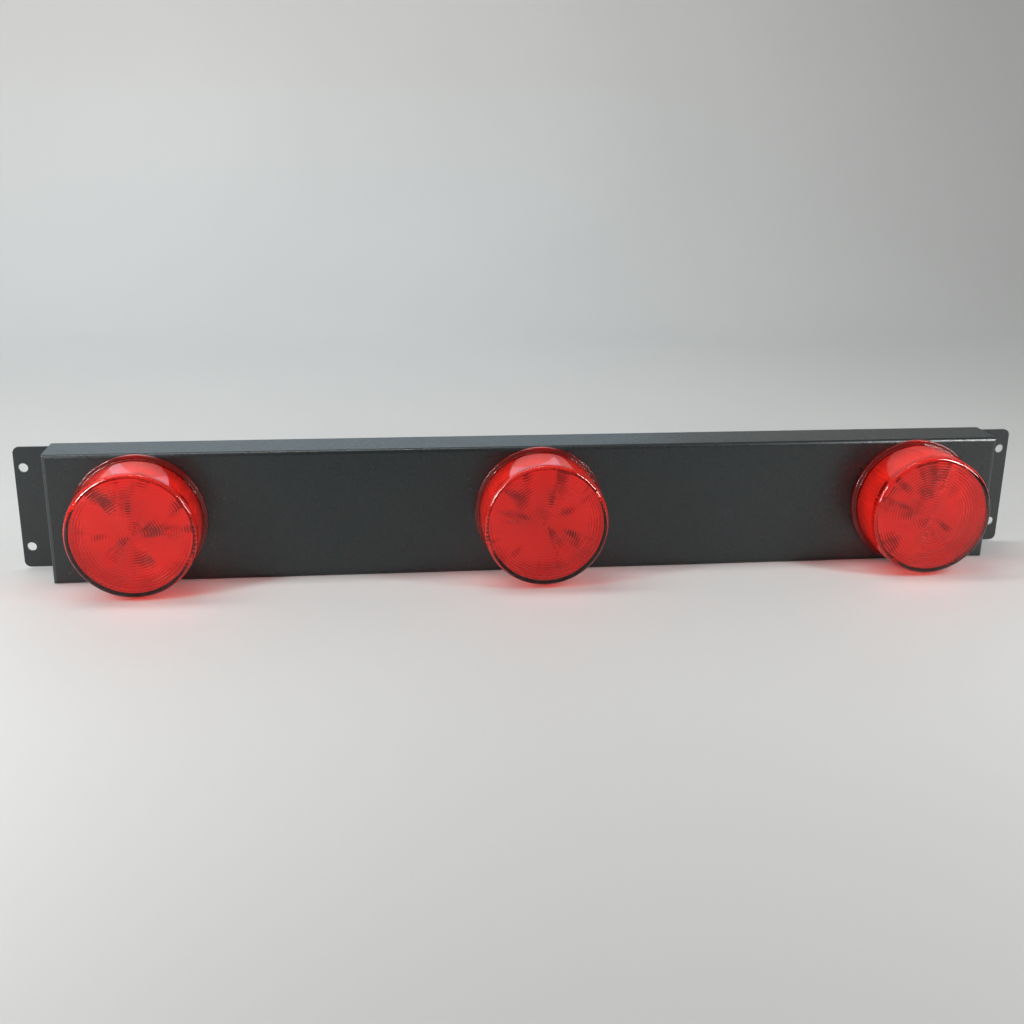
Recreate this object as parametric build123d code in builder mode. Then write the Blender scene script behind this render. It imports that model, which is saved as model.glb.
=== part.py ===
from build123d import *
from math import cos, pi, radians, sin, sqrt
import os

# Trailer light bar: a folded steel bar with an ear at each end and three round marker lamps.
# Origin in the middle of the four mounting holes, on the plane behind the ears.
# X runs along the bar, Y points from the lamps into the trailer, Z points up. Millimetres.

# Mounting bar
lamp_spacing = 190.5        # between neighbouring lamps
lamp_to_end = 42.5          # from an outer lamp's centre to the bar's end
bar_depth = 23.0            # from the front face to the mounting plane
sheet = 1.2                 # steel sheet
bend_inside = 0.8           # inside radius of every fold
flange_setback = 0.5        # flange edges stop this far short of the mounting plane
fold_gap = 0.2              # between an end wall and the flange beside it
ear_width = 18.0            # from the bar's end to the ear's outer edge
ear_corner_radius = 3.0
mount_hole_diameter = 4.5
mount_hole_pitch = 40.0     # between the two holes of an ear
mount_hole_inset = 4.2      # from the ear's outer edge to the hole's centre

# Lamp lens
lens_diameter = 63.5        # over the flange, and the bar is as tall as the flange
lens_flange_width = 2.0     # from the flange's edge to the wall
lens_flange = 2.6           # flange thickness
lens_depth = 27.3           # from the bar's face to the lens's front
lens_wall = 2.4
lens_front = 2.2            # front thickness between the prism rings
lens_rim = 1.2              # bevelled edge of the front
ring_count = 4
ring_sides = 20
ring_depth = 0.8
ring_slope = 30.0           # degrees that a ring's flanks lean in
ring_start = 4.0            # radius of the plain spot in the middle
ring_margin = 2.0           # plain band between the last ring and the wall
flute_count = 40            # upright prisms side by side around the inside of the wall
flute_depth = 0.5

# Lamp housing
weld_clearance = 0.1        # around the housing, inside the lens
housing_floor = 2.5
housing_cover = 4.0         # how far the housing reaches past the edge of the bar's hole
latch_count = 3
latch_width = 12.0
latch_wall = 1.8
latch_clearance = 0.25      # between a latch and the hole's edge
latch_play = 0.1            # between a latch's catch and the back of the sheet
latch_reach = 2.0           # how far a catch stands out past its arm
latch_land = 0.8
latch_length = 6.5          # from the bar's face to a latch's tip
socket_bore = (16.0, 9.6)   # plug socket, inside
socket_bore_depth = 10.0
socket_wall = 1.8
socket_length = 13.0        # from the bar's face to the socket's mouth

# Circuit board and what it carries
board_clearance = 0.6       # around the board, inside the lens
board_sides = 12
board_thickness = 1.6
board_height = 8.0          # from the bar's face to the back of the board
rib_inset = 7.7             # from the board's edge to the ribs that carry it
rib_turn = 60.0
rib_length = 6.0
rib_width = 1.8
led_inset = 11.2            # from the board's edge to the ring of diodes
led_count = 3               # around the one in the middle
led_body = 6.0
led_body_height = 2.6
led_dome_diameter = 4.8
led_dome_sides = 8
led_dome_height = 3.4
led_dome_bevel = 1.2
resistor_ring_radius = 9.0
resistor_size = (3.2, 2.6, 0.8)
diode_inset = 9.7           # from the board's edge
diode_turn = 28.0
diode_size = (4.3, 2.6, 2.1)
terminal_spacing = 8.0      # between the two flat terminals
terminal_thickness = 0.8
terminal_width = 2.8
terminal_clearance = 0.03
terminal_recess = 2.0       # from the socket's mouth to a terminal's tip
terminal_solder = 0.6       # how far a terminal stands out of the board

# Each lamp sits in a round hole and is turned as it was pushed in
lamp_names = ("left", "centre", "right")
lamp_turns = (110.0, 300.0, 295.0)

# Worked out from the sizes above
bar_height = lens_diameter
bar_length = 2 * (lamp_spacing + lamp_to_end)
half_length = bar_length / 2
half_inside = bar_height / 2 - sheet
ear_height = 2 * (half_inside - fold_gap)
bend_outside = bend_inside + sheet
mount_hole_span = 2 * (half_length + ear_width - mount_hole_inset)

lens_radius = lens_diameter / 2 - lens_flange_width
cavity = lens_radius - lens_wall
ring_plane = lens_depth - lens_front
ring_pitch = (cavity - ring_margin - ring_start) / ring_count
flute_pitch = 2 * pi * cavity / flute_count

housing_radius = cavity - weld_clearance
lamp_hole = housing_radius - housing_cover
latch_radius = sqrt((lamp_hole - latch_clearance) ** 2 - (latch_width / 2) ** 2)
catch_front = sheet + latch_play
board_radius = cavity - board_clearance
board_top = board_height + board_thickness
rib_radius = board_radius - rib_inset
led_ring_radius = board_radius - led_inset
diode_radius = board_radius - diode_inset

os.makedirs("parts", exist_ok=True)


def lamp_seat(index):
    """Plane on the bar's front face at a lamp's centre, facing out through its lens."""
    turn = radians(lamp_turns[index])
    centre = ((index - 1) * lamp_spacing, -bar_depth, 0)
    return Plane(origin=centre, x_dir=(cos(turn), 0, sin(turn)), z_dir=(0, -1, 0))


def lamp_section(seat, angle=0.0):
    """Plane through a lamp's axis: x is the radius and y is the height above the bar's face."""
    outward = seat.x_dir.rotate(Axis(seat.origin, seat.z_dir), angle)
    return Plane(origin=seat.origin, x_dir=outward, z_dir=outward.cross(seat.z_dir))


def save(piece, label):
    """Name a finished piece and write its file."""
    piece.part.label = label
    export_step(piece.part, f"parts/{label}.step")


def terminal_places():
    """The two terminals stand on either side of the lamp's axis."""
    return GridLocations(terminal_spacing, 0, 2, 1)


# Mounting bar: a shallow tray folded from one sheet, open at the back
with BuildPart() as mounting_bar:
    with BuildSketch(Plane.XZ.offset(bar_depth)):
        Rectangle(bar_length, bar_height)
    extrude(amount=flange_setback - bar_depth)
    front = mounting_bar.faces().sort_by(Axis.Y)[0]
    fillet(front.edges(), radius=bend_outside)
    back = mounting_bar.faces().sort_by(Axis.Y)[-1]
    offset(amount=-sheet, openings=back)

    fold_start = -2 * bend_outside
    gap_start = bend_outside - bar_depth
    for end in (-1, 1):
        # Gaps that part the end wall from the flanges, and the room for the ear's fold
        with BuildSketch(Plane(origin=(end * half_length, 0, 0), x_dir=(0, 1, 0), z_dir=(end, 0, 0))):
            with Locations((gap_start / 2, 0)):
                Rectangle(-gap_start, 2 * half_inside)
                Rectangle(-gap_start, ear_height, mode=Mode.SUBTRACT)
            with Locations((fold_start / 2, 0)):
                Rectangle(-fold_start, 2 * half_inside)
        extrude(amount=-2 * sheet, mode=Mode.SUBTRACT)

        # Ear, folded outward from the end wall
        with BuildSketch(Plane.XY.offset(-ear_height / 2)) as ear:
            with BuildLine():
                Polyline(
                    (end * (half_length - sheet), fold_start),
                    (end * (half_length - sheet), 0),
                    (end * (half_length + ear_width), 0),
                    (end * (half_length + ear_width), -sheet),
                    (end * half_length, -sheet),
                    (end * half_length, fold_start),
                    close=True,
                )
            make_face()
            fillet(ear.vertices().sort_by_distance((end * (half_length - sheet), 0))[0], bend_outside)
            fillet(ear.vertices().sort_by_distance((end * half_length, -sheet))[0], bend_inside)
        extrude(amount=ear_height)

    edges_by_x = mounting_bar.edges().filter_by(Axis.Y).group_by(Axis.X)
    fillet(edges_by_x[0] + edges_by_x[-1], radius=ear_corner_radius)

    with Locations(Plane.XZ):
        with GridLocations(mount_hole_span, mount_hole_pitch, 2, 2):
            Hole(mount_hole_diameter / 2)
        with GridLocations(lamp_spacing, 0, 3, 1):
            Hole(lamp_hole)
save(mounting_bar, "mounting_bar")


def build_lens(seat):
    """Clear drum: flange, wall, bevelled rim, prism rings and flutes on the inside."""
    with BuildPart() as lens:
        with BuildSketch(seat):
            Circle(lens_diameter / 2)
        extrude(amount=lens_flange)
        with BuildSketch(seat):
            Circle(lens_radius)
        extrude(amount=lens_depth)
        rim = lens.edges().filter_by(GeomType.CIRCLE).sort_by(Axis.Y)[0]
        chamfer(rim, length=lens_rim)

        with BuildSketch(seat):
            Circle(cavity)
            with PolarLocations(cavity, flute_count):
                Polygon(
                    (-flute_depth, -flute_pitch),
                    (flute_depth, 0),
                    (-flute_depth, flute_pitch),
                    align=None,
                )
        extrude(amount=ring_plane, mode=Mode.SUBTRACT)

        for ring in range(ring_count):
            inner = ring_start + ring * ring_pitch
            with BuildSketch(seat.offset(ring_plane)):
                RegularPolygon(inner + ring_pitch, ring_sides)
                RegularPolygon(inner, ring_sides, mode=Mode.SUBTRACT)
            extrude(amount=-ring_depth, taper=ring_slope)
    return lens


def build_housing(seat):
    """Round back of a lamp with latches for the bar's hole, a plug socket and ribs for the board."""
    with BuildPart() as housing:
        with BuildSketch(seat):
            Circle(housing_radius)
        extrude(amount=housing_floor)

        with BuildSketch(seat.offset(-socket_length)):
            Rectangle(socket_bore[0] + 2 * socket_wall, socket_bore[1] + 2 * socket_wall)
        extrude(amount=socket_length)
        with BuildSketch(seat.offset(-socket_length)):
            Rectangle(*socket_bore)
        extrude(amount=socket_bore_depth, mode=Mode.SUBTRACT)

        for latch in range(latch_count):
            section = lamp_section(seat, latch * 360 / latch_count)
            with BuildSketch(section.offset(-latch_width / 2)):
                with BuildLine():
                    Polyline(
                        (latch_radius - latch_wall, 0),
                        (latch_radius, 0),
                        (latch_radius, -catch_front),
                        (latch_radius + latch_reach, -catch_front),
                        (latch_radius + latch_reach, -catch_front - latch_land),
                        (latch_radius, -latch_length),
                        (latch_radius - latch_wall, -latch_length),
                        close=True,
                    )
                make_face()
            extrude(amount=latch_width)

        with BuildSketch(seat.offset(housing_floor)):
            with PolarLocations(rib_radius, latch_count, start_angle=rib_turn):
                Rectangle(rib_length, rib_width)
        extrude(amount=board_height - housing_floor)

        with BuildSketch(seat.offset(housing_floor)):
            with terminal_places():
                Rectangle(terminal_thickness + 2 * terminal_clearance, terminal_width + 2 * terminal_clearance)
        extrude(amount=socket_bore_depth - socket_length - housing_floor, mode=Mode.SUBTRACT)
    return housing


def build_board(seat):
    """Many-sided circuit board with the terminals' two slots."""
    with BuildPart() as board:
        with BuildSketch(seat.offset(board_height)):
            RegularPolygon(board_radius, board_sides)
            with terminal_places():
                Rectangle(
                    terminal_thickness + 2 * terminal_clearance,
                    terminal_width + 2 * terminal_clearance,
                    mode=Mode.SUBTRACT,
                )
        extrude(amount=board_thickness)
    return board


def build_led(seat, place):
    """Square diode body with a round dome."""
    with BuildPart() as led:
        with BuildSketch(seat.offset(board_top)):
            with Locations(place):
                Rectangle(led_body, led_body)
        extrude(amount=led_body_height)
        with BuildSketch(seat.offset(board_top + led_body_height)):
            with Locations(place):
                RegularPolygon(led_dome_diameter / 2, led_dome_sides)
        extrude(amount=led_dome_height)
        dome_top = led.faces().sort_by(Axis.Y)[0]
        chamfer(dome_top.edges(), length=led_dome_bevel)
    return led


def build_chip(seat, place, size):
    """Small block soldered to the board."""
    length, width, height = size
    with BuildPart() as chip:
        with BuildSketch(seat.offset(board_top)):
            with Locations(place):
                Rectangle(length, width)
        extrude(amount=height)
    return chip


def build_terminal(seat, place):
    """Flat terminal from inside the plug socket up through the board."""
    tip = terminal_recess - socket_length
    with BuildPart() as terminal:
        with BuildSketch(seat.offset(tip)):
            with Locations(place):
                Rectangle(terminal_thickness, terminal_width)
        extrude(amount=board_top + terminal_solder - tip)
        tip_face = terminal.faces().sort_by(Axis.Y)[-1]
        chamfer(tip_face.edges(), length=terminal_thickness / 4)
    return terminal


for index, name in enumerate(lamp_names):
    seat = lamp_seat(index)
    save(build_lens(seat), f"{name}_lens")
    save(build_housing(seat), f"{name}_housing")
    save(build_board(seat), f"{name}_circuit_board")
    save(build_led(seat, Location((0, 0))), f"{name}_led_middle")
    for number, place in enumerate(PolarLocations(led_ring_radius, led_count), start=1):
        save(build_led(seat, place), f"{name}_led_{number}")
    for number, place in enumerate(PolarLocations(resistor_ring_radius, led_count), start=1):
        save(build_chip(seat, place, resistor_size), f"{name}_resistor_{number}")
    diode_place = PolarLocations(diode_radius, 1, diode_turn).locations[0]
    save(build_chip(seat, diode_place, diode_size), f"{name}_diode")
    for number, place in enumerate(terminal_places(), start=1):
        save(build_terminal(seat, place), f"{name}_terminal_{number}")
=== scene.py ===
from math import cos, pi, radians, sin

import bmesh
import bpy
from mathutils import Matrix, Vector


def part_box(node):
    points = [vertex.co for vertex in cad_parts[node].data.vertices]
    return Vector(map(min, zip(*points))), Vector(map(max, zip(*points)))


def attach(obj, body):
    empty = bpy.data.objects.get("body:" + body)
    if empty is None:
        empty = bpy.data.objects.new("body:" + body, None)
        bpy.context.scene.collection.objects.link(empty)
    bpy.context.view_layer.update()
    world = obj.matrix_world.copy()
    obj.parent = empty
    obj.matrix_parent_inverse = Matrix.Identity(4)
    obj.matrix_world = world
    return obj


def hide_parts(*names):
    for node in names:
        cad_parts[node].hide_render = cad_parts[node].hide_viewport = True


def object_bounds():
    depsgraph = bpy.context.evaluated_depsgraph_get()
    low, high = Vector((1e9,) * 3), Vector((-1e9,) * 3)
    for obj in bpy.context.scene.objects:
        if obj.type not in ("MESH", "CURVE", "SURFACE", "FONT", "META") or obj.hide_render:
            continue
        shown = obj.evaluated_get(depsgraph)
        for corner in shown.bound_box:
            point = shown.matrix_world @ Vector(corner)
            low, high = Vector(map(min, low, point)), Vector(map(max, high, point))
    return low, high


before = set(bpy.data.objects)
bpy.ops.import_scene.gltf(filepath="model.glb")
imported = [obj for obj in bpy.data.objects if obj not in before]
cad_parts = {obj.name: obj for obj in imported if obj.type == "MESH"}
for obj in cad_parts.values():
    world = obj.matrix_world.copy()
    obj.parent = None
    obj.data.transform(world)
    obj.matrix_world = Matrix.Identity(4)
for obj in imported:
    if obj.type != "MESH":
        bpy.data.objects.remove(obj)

# Looks of the trailer light bar. Lengths are millimetres in the part's frame, turned into metres by MM.
MM = 0.001
LAMPS = ("left", "centre", "right")
LAMP_TURNS = {"left": 110.0, "centre": 300.0, "right": 295.0}
LEDS = ("led_middle", "led_1", "led_2", "led_3")
LED_TURN = 120.0

cad_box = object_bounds()

# Camera, fitted to the bar's corners and holes in the photograph
CAMERA_PLACE = (-84.8, -598.6, 187.9)
CAMERA_AIM = (0.11707, 0.94354, -0.30988)
CAMERA_ROLL = 0.78
FOCAL_PIXELS = 1246.3
PICTURE_PIXELS = 1024
SENSOR = 36.0

# Backdrop
BACKDROP_FRONT = 4000.0
BACKDROP_DISTANCE = 1000.0
BACKDROP_BEND = 400.0
BACKDROP_BEND_STEPS = 24
BACKDROP_HEIGHT = 2500.0

# Lights: place, point they face, width with height, and watts
TOP_LIGHT = ((0, -100, 1300), (0, 0, 0), (1600, 800), 1.0)
WALL_LIGHT = ((-600, 100, 1200), (-600, 1000, 350), (1400, 300), 11.6)
WINDOW_LIGHT = ((-200, 920, 380), (-200, 0, 100), (1000, 130), 0.4)
LEFT_LIGHT = ((-500, -280, 240), (-100, 0, 0), (70, 280), 1.45)
RIGHT_LIGHT = ((450, -280, 300), (100, 0, 0), (70, 280), 1.3)
LEFT_GLINT = ((-520, -280, 240), (0, 0, 0), (120, 360), 3.2)
RIGHT_GLINT = ((520, -280, 240), (0, 0, 0), (120, 360), 3.2)
ROOM_STRENGTH = 0.24

# Lens
LENS_RADIUS = 29.75
LENS_FRONT = 2.2
LENS_WALL = 2.4
FLANGE_THICK = 2.6
RIM_ROUND = 2.4
RIM_STEPS = 8
EDGE_ROUND = 0.5
EDGE_STEPS = 4
FILLET_STEPS = 3
RING_PITCH = 1.5
RING_WIDTH = 0.6
RING_DEPTH = 0.13
RING_MARGIN = 0.9
FLUTES = 80
FLUTE_STEPS = 6
FLUTE_DEPTH = 0.25
FLUTE_START = 2.5
FLUTE_END = 4.5
FLUTE_FADE = 0.4
FLUTE_SLOT = 1
RING_SLOT = 2
LENS_SHARP = 32.0

# Light emitting diode
LED_BODY = 6.0
LED_BODY_HEIGHT = 2.6
LED_EDGE = 0.35
LED_DOME = 4.4
LED_HEIGHT = 6.0
DOME_SIDES = 32
DOME_STEPS = 6
DOME_POWER = 0.7
LED_SHARP = 40.0

# Colours, as linear shares of red, green and blue
WHITE = (1.0, 1.0, 1.0)
ROOM_PALE = (0.97, 1.0, 1.0)
WINDOW_BLUE = (0.3, 0.72, 1.0)
BACKDROP_DARK = (0.63, 0.63, 0.618)
BACKDROP_LIGHT = (0.66, 0.66, 0.648)
COAT_DARK = (0.003, 0.0075, 0.0087)
COAT_LIGHT = (0.006, 0.0108, 0.0122)
OUTSIDE_RED = (0.95, 0.22, 0.16)
FLUTE_RED = (0.88, 0.12, 0.095)
RING_RED = (0.66, 0.028, 0.018)
SHADOW_RED = (0.62, 0.12, 0.085)
HOUSING_DARK = (0.72, 0.71, 0.68)
HOUSING_LIGHT = (0.8, 0.79, 0.76)
# Dark patches on the board: painted reflection, standing in for the grey smears the lens rings reflect
BOARD_PAINTED_SMEAR = (0.1, 0.1, 0.11)
BOARD_WHITE = (0.78, 0.78, 0.76)
RESIN_DARK = (0.85, 0.84, 0.8)
RESIN_LIGHT = (0.95, 0.94, 0.9)
CHIP_DARK = (0.02, 0.02, 0.02)
CHIP_LIGHT = (0.035, 0.035, 0.035)
DIODE_DARK = (0.02, 0.02, 0.022)
DIODE_LIGHT = (0.03, 0.03, 0.032)
TIN_DARK = (0.5, 0.48, 0.42)
TIN_LIGHT = (0.68, 0.66, 0.6)


def new_material(name):
    """Node material with one Principled shader."""
    material = bpy.data.materials.new(name)
    material.use_nodes = True
    nodes = material.node_tree.nodes
    return material, nodes, material.node_tree.links, nodes["Principled BSDF"]


def add_noise(nodes, links, scale, detail=2.0):
    """Noise in the object's own metres, as its value output."""
    place = nodes.new("ShaderNodeTexCoord")
    noise = nodes.new("ShaderNodeTexNoise")
    noise.inputs["Scale"].default_value = scale
    noise.inputs["Detail"].default_value = detail
    links.new(place.outputs["Object"], noise.inputs["Vector"])
    return noise.outputs["Fac"]


def add_bump(nodes, links, shader, height, strength, distance):
    """Bump the shader's normal by a height output."""
    bump = nodes.new("ShaderNodeBump")
    bump.inputs["Strength"].default_value = strength
    bump.inputs["Distance"].default_value = distance * MM
    links.new(height, bump.inputs["Height"])
    links.new(bump.outputs["Normal"], shader.inputs["Normal"])


def add_roughness(nodes, links, shader, source, smooth, rough):
    """Drive the shader's roughness between two values."""
    spread = nodes.new("ShaderNodeMapRange")
    spread.inputs["From Min"].default_value = 0.3
    spread.inputs["From Max"].default_value = 0.7
    spread.inputs["To Min"].default_value = smooth
    spread.inputs["To Max"].default_value = rough
    links.new(source, spread.inputs["Value"])
    links.new(spread.outputs["Result"], shader.inputs["Roughness"])


def add_colour(nodes, links, shader, source, dark, light, low=0.3, high=0.7):
    """Drive the shader's base colour between two colours."""
    ramp = nodes.new("ShaderNodeValToRGB")
    ramp.color_ramp.elements[0].position = low
    ramp.color_ramp.elements[1].position = high
    ramp.color_ramp.elements[0].color = (*dark, 1.0)
    ramp.color_ramp.elements[1].color = (*light, 1.0)
    links.new(source, ramp.inputs["Fac"])
    links.new(ramp.outputs["Color"], shader.inputs["Base Color"])


def powder_coat():
    """Black powder coat: satin, with a fine orange peel."""
    material, nodes, links, shader = new_material("powder_coat")
    grain = add_noise(nodes, links, scale=900.0, detail=3.0)
    cloud = add_noise(nodes, links, scale=14.0)
    add_colour(nodes, links, shader, cloud, COAT_DARK, COAT_LIGHT)
    add_roughness(nodes, links, shader, grain, smooth=0.26, rough=0.36)
    shader.inputs["IOR"].default_value = 1.6
    add_bump(nodes, links, shader, grain, strength=0.5, distance=0.16)
    return material


def red_lens(name, clear, rough, tint):
    """Red plastic. Light that only falls through it is tinted and not bent."""
    material, nodes, links, shader = new_material(name)
    shader.inputs["Base Color"].default_value = (*tint, 1.0)
    shader.inputs["Transmission Weight"].default_value = clear
    shader.inputs["IOR"].default_value = 1.44
    wave = add_noise(nodes, links, scale=120.0)
    add_roughness(nodes, links, shader, wave, rough, rough + 0.03)
    add_bump(nodes, links, shader, wave, strength=0.06, distance=0.2)
    rays = nodes.new("ShaderNodeLightPath")
    shade = nodes.new("ShaderNodeBsdfTransparent")
    shade.inputs["Color"].default_value = (*SHADOW_RED, 1.0)
    choice = nodes.new("ShaderNodeMixShader")
    links.new(rays.outputs["Is Shadow Ray"], choice.inputs["Fac"])
    links.new(shader.outputs["BSDF"], choice.inputs[1])
    links.new(shade.outputs["BSDF"], choice.inputs[2])
    links.new(choice.outputs["Shader"], nodes["Material Output"].inputs["Surface"])
    return material


def moulded_plastic(name, dark, light, rough):
    """Matt moulded plastic with a faint grain."""
    material, nodes, links, shader = new_material(name)
    grain = add_noise(nodes, links, scale=700.0)
    cloud = add_noise(nodes, links, scale=60.0)
    add_colour(nodes, links, shader, cloud, dark, light)
    add_roughness(nodes, links, shader, grain, rough - 0.06, rough + 0.06)
    add_bump(nodes, links, shader, grain, strength=0.15, distance=0.1)
    return material


def solder_mask():
    """White circuit board with faint tracks under its lacquer, and dark patches of painted reflection
    that stand in for the grey smears reflected by the lens rings.
    """
    material, nodes, links, shader = new_material("solder_mask")
    tracks = add_noise(nodes, links, scale=260.0, detail=0.0)
    # Painted reflection: random dark patches in place of the grey smears reflected by the lens rings
    painted_smear = add_noise(nodes, links, scale=110.0)
    add_colour(nodes, links, shader, painted_smear, BOARD_PAINTED_SMEAR, BOARD_WHITE, low=0.36, high=0.41)
    add_roughness(nodes, links, shader, tracks, smooth=0.3, rough=0.38)
    add_bump(nodes, links, shader, tracks, strength=0.2, distance=0.05)
    return material


def clear_resin():
    """Pale diode with a mirror-bright top, as its resin shines in the photograph."""
    material, nodes, links, shader = new_material("clear_resin")
    cloud = add_noise(nodes, links, scale=400.0)
    add_colour(nodes, links, shader, cloud, RESIN_DARK, RESIN_LIGHT)
    shader.inputs["Roughness"].default_value = 0.06
    shader.inputs["Metallic"].default_value = 1.0
    return material


def tinned_brass():
    """Tinned terminal."""
    material, nodes, links, shader = new_material("tinned_brass")
    grain = add_noise(nodes, links, scale=900.0)
    add_colour(nodes, links, shader, grain, TIN_DARK, TIN_LIGHT)
    add_roughness(nodes, links, shader, grain, smooth=0.25, rough=0.4)
    shader.inputs["Metallic"].default_value = 1.0
    return material


def pale_backdrop():
    """Matt paper of the backdrop, hardly clouded."""
    material, nodes, links, shader = new_material("pale_backdrop")
    shader.inputs["Roughness"].default_value = 0.6
    cloud = add_noise(nodes, links, scale=3.0)
    add_colour(nodes, links, shader, cloud, BACKDROP_DARK, BACKDROP_LIGHT)
    return material


def arc(centre, radius, start, end, steps):
    """Points of a round corner in a profile, angles in degrees."""
    points = []
    for step in range(steps + 1):
        angle = radians(start + (end - start) * step / steps)
        points.append((centre[0] + radius * cos(angle), centre[1] + radius * sin(angle)))
    return points


def join_rings(mesh, rings):
    """Faces between neighbouring rings, each with its row. A ring of one point closes the shape there."""
    faces = []
    for row, (first, second) in enumerate(zip(rings, rings[1:])):
        steps = max(len(first), len(second))
        for step in range(steps):
            following = (step + 1) % steps
            if len(first) == 1:
                corners = (first[0], second[following], second[step])
            elif len(second) == 1:
                corners = (first[step], first[following], second[0])
            else:
                corners = (first[step], first[following], second[following], second[step])
            faces.append((row, mesh.faces.new(corners)))
    return faces


def finish_piece(mesh, name, materials, sharp, node):
    """Turn a bmesh into a piece that stands for a CAD node."""
    bmesh.ops.recalc_face_normals(mesh, faces=mesh.faces)
    data = bpy.data.meshes.new(name)
    mesh.to_mesh(data)
    mesh.free()
    data.shade_smooth()
    data.set_sharp_from_angle(angle=radians(sharp))
    for material in materials:
        data.materials.append(material)
    piece = bpy.data.objects.new(name, data)
    bpy.context.scene.collection.objects.link(piece)
    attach(piece, "root")
    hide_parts(node)


def lens_profile(flange_radius, depth):
    """Radius and height of the lens's points: front and drum, then flange, then back along the inside."""
    ring_plane = depth - LENS_FRONT
    cavity = LENS_RADIUS - LENS_WALL
    flute_end = ring_plane - FLUTE_END
    drum = [(0.0, depth), (LENS_RADIUS / 2, depth)]
    drum += arc((LENS_RADIUS - RIM_ROUND, depth - RIM_ROUND), RIM_ROUND, 90, 0, RIM_STEPS)
    fillet = (LENS_RADIUS + EDGE_ROUND, FLANGE_THICK + EDGE_ROUND)
    flange = arc(fillet, EDGE_ROUND, 180, 270, FILLET_STEPS)
    flange += arc((flange_radius - EDGE_ROUND, FLANGE_THICK - EDGE_ROUND), EDGE_ROUND, 90, 0, EDGE_STEPS)
    flange += arc((flange_radius - EDGE_ROUND, EDGE_ROUND), EDGE_ROUND, 0, -90, EDGE_STEPS)
    inside = [(cavity, 0.0), (cavity, FLUTE_START), (cavity, FLUTE_START + FLUTE_FADE)]
    inside += [(cavity, flute_end - FLUTE_FADE), (cavity, flute_end), (cavity, ring_plane)]
    radius = cavity - RING_MARGIN
    while radius > RING_PITCH:
        inside.append((radius, ring_plane))
        inside.append((radius - RING_WIDTH / 2, ring_plane - RING_DEPTH))
        inside.append((radius - RING_WIDTH, ring_plane))
        radius -= RING_PITCH
    inside += [(radius, ring_plane), (0.0, ring_plane)]
    return drum, flange, inside


def build_lens(lamp, materials):
    """Detailed lens: round rim, fine prism rings and flutes, in the CAD lens's place."""
    low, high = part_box(f"{lamp}_lens")
    centre_x = (low[0] + high[0]) / 2
    centre_z = (low[2] + high[2]) / 2
    depth = (high[1] - low[1]) / MM
    flange_radius = (high[2] - low[2]) / 2 / MM
    drum, flange, inside = lens_profile(flange_radius, depth)
    cavity = len(drum) + len(flange)
    fluted_points = range(cavity + 2, cavity + 4)
    fluted_faces = range(cavity + 1, cavity + 4)

    mesh = bmesh.new()
    rings = []
    steps = FLUTES * FLUTE_STEPS
    for row, (radius, height) in enumerate(drum + flange + inside):
        y = high[1] - height * MM
        if radius == 0.0:
            rings.append([mesh.verts.new((centre_x, y, centre_z))])
            continue
        ring = []
        for step in range(steps):
            angle = 2 * pi * step / steps
            reach = radius
            if row in fluted_points:
                reach += FLUTE_DEPTH * abs(2 * (step % FLUTE_STEPS) / FLUTE_STEPS - 1)
            x = centre_x + reach * MM * cos(angle)
            z = centre_z + reach * MM * sin(angle)
            ring.append(mesh.verts.new((x, y, z)))
        rings.append(ring)
    for row, face in join_rings(mesh, rings):
        if row in fluted_faces:
            face.material_index = FLUTE_SLOT
        elif row >= len(drum):
            face.material_index = RING_SLOT
    finish_piece(mesh, f"{lamp}_clear_lens", materials, LENS_SHARP, f"{lamp}_lens")


def build_led(lamp, led, material):
    """Square diode body with soft edges and a round dome."""
    node = f"{lamp}_{led}"
    low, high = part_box(node)
    centre = Vector(((low[0] + high[0]) / 2, high[1], (low[2] + high[2]) / 2))
    turn = Matrix.Rotation(radians(-LAMP_TURNS[lamp]), 3, "Y")
    if led != "led_middle":
        turn = Matrix.Rotation(radians(-LED_TURN * (int(led[-1]) - 1)), 3, "Y") @ turn

    mesh = bmesh.new()
    bmesh.ops.create_cube(mesh, size=1.0)
    for vert in mesh.verts:
        x, y, z = vert.co
        vert.co = Vector((x * LED_BODY, (y - 0.5) * LED_BODY_HEIGHT, z * LED_BODY)) * MM
    bmesh.ops.bevel(mesh, geom=mesh.edges[:], offset=LED_EDGE * MM, segments=2, affect="EDGES")

    rings = []
    for step in range(DOME_STEPS):
        angle = pi / 2 * step / DOME_STEPS
        radius = LED_DOME / 2 * cos(angle) ** DOME_POWER
        y = -LED_BODY_HEIGHT - (LED_HEIGHT - LED_BODY_HEIGHT) * sin(angle)
        ring = []
        for side in range(DOME_SIDES):
            around = 2 * pi * side / DOME_SIDES
            ring.append(mesh.verts.new(Vector((radius * cos(around), y, radius * sin(around))) * MM))
        rings.append(ring)
    rings.append([mesh.verts.new((0, -LED_HEIGHT * MM, 0))])
    join_rings(mesh, rings)
    mesh.faces.new(rings[0])
    for vert in mesh.verts:
        vert.co = turn @ vert.co + centre
    finish_piece(mesh, f"{node}_dome", (material,), LED_SHARP, node)


def dress_nodes(materials):
    """Give every CAD node that stays its own finish."""
    for name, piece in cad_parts.items():
        for word, material in materials.items():
            if word in name:
                piece.data.materials.clear()
                piece.data.materials.append(material)


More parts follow.
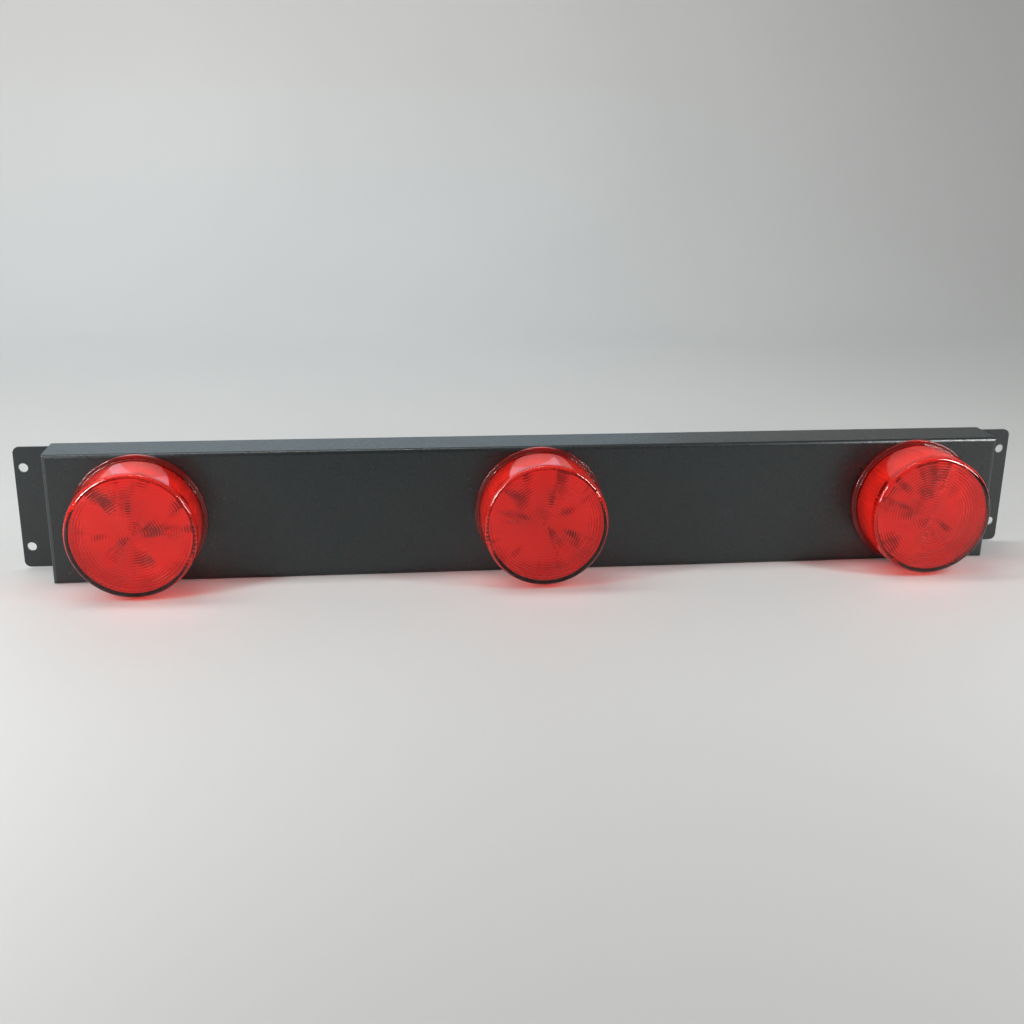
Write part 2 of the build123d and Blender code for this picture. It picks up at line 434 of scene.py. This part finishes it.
def build_camera():
    """Camera at the photograph's viewing angle."""
    camera = bpy.data.cameras.new("camera")
    camera.sensor_width = SENSOR
    camera.lens = FOCAL_PIXELS * SENSOR / PICTURE_PIXELS
    camera.clip_start = 0.01
    camera.clip_end = 100.0
    seat = bpy.data.objects.new("camera", camera)
    aim = Vector(CAMERA_AIM).to_track_quat("-Z", "Y").to_matrix().to_4x4()
    roll = Matrix.Rotation(radians(CAMERA_ROLL), 4, "Z")
    seat.matrix_world = Matrix.Translation(Vector(CAMERA_PLACE) * MM) @ aim @ roll
    bpy.context.scene.collection.objects.link(seat)
    bpy.context.scene.camera = seat


def build_backdrop(level):
    """Pale floor that sweeps up into a wall behind the bar."""
    bend_centre = (BACKDROP_DISTANCE - BACKDROP_BEND, BACKDROP_BEND)
    bend = arc(bend_centre, BACKDROP_BEND, 270, 360, BACKDROP_BEND_STEPS)
    mesh = bmesh.new()
    rows = []
    for y, z in [(-BACKDROP_FRONT, 0.0), *bend, (BACKDROP_DISTANCE, BACKDROP_HEIGHT)]:
        left = mesh.verts.new((-BACKDROP_FRONT * MM, y * MM, level + z * MM))
        right = mesh.verts.new((BACKDROP_FRONT * MM, y * MM, level + z * MM))
        rows.append((left, right))
    for first, second in zip(rows, rows[1:]):
        mesh.faces.new((first[0], first[1], second[1], second[0]))
    data = bpy.data.meshes.new("backdrop")
    mesh.to_mesh(data)
    mesh.free()
    data.shade_smooth()
    data.materials.append(pale_backdrop())
    backdrop = bpy.data.objects.new("backdrop", data)
    bpy.context.scene.collection.objects.link(backdrop)


def add_area(name, place, aim, size, watts, colour=WHITE):
    """Rectangular soft light."""
    light = bpy.data.lights.new(name, "AREA")
    light.shape = "RECTANGLE"
    light.size = size[0] * MM
    light.size_y = size[1] * MM
    light.energy = watts
    light.color = colour
    seat = bpy.data.objects.new(name, light)
    seat.location = Vector(place) * MM
    seat.rotation_euler = (Vector(aim) - Vector(place)).to_track_quat("-Z", "Y").to_euler()
    bpy.context.scene.collection.objects.link(seat)
    return seat


def add_glint(name, place, aim, size, watts):
    """Light that only gloss reflects, for the white arcs on the lens rims."""
    glint = add_area(name, place, aim, size, watts)
    glint.visible_diffuse = False
    glint.visible_transmission = False


def build_light():
    """Pale room, soft light above, a wash on the wall, a far window and lamps beside the bar."""
    world = bpy.data.worlds.new("world")
    world.use_nodes = True
    background = world.node_tree.nodes["Background"]
    background.inputs["Color"].default_value = (*ROOM_PALE, 1.0)
    background.inputs["Strength"].default_value = ROOM_STRENGTH
    bpy.context.scene.world = world
    add_area("top_light", *TOP_LIGHT)
    add_area("wall_light", *WALL_LIGHT)
    add_area("window_light", *WINDOW_LIGHT, WINDOW_BLUE)
    add_area("left_light", *LEFT_LIGHT)
    add_area("right_light", *RIGHT_LIGHT)
    add_glint("left_glint", *LEFT_GLINT)
    add_glint("right_glint", *RIGHT_GLINT)


build_camera()
build_light()
build_backdrop(cad_box[0][2])
dress_nodes({
    "mounting_bar": powder_coat(),
    "housing": moulded_plastic("white_plastic", HOUSING_DARK, HOUSING_LIGHT, rough=0.42),
    "circuit_board": solder_mask(),
    "resistor": moulded_plastic("black_chip", CHIP_DARK, CHIP_LIGHT, rough=0.4),
    "diode": moulded_plastic("black_diode", DIODE_DARK, DIODE_LIGHT, rough=0.5),
    "terminal": tinned_brass(),
})
lens_materials = (
    red_lens("red_outside", clear=1.0, rough=0.02, tint=OUTSIDE_RED),
    red_lens("red_flutes", clear=0.5, rough=0.2, tint=FLUTE_RED),
    red_lens("red_rings", clear=0.8, rough=0.05, tint=RING_RED),
)
resin = clear_resin()
for lamp in LAMPS:
    build_lens(lamp, lens_materials)
    for led in LEDS:
        build_led(lamp, led, resin)

bpy.context.scene.view_settings.view_transform = "Standard"
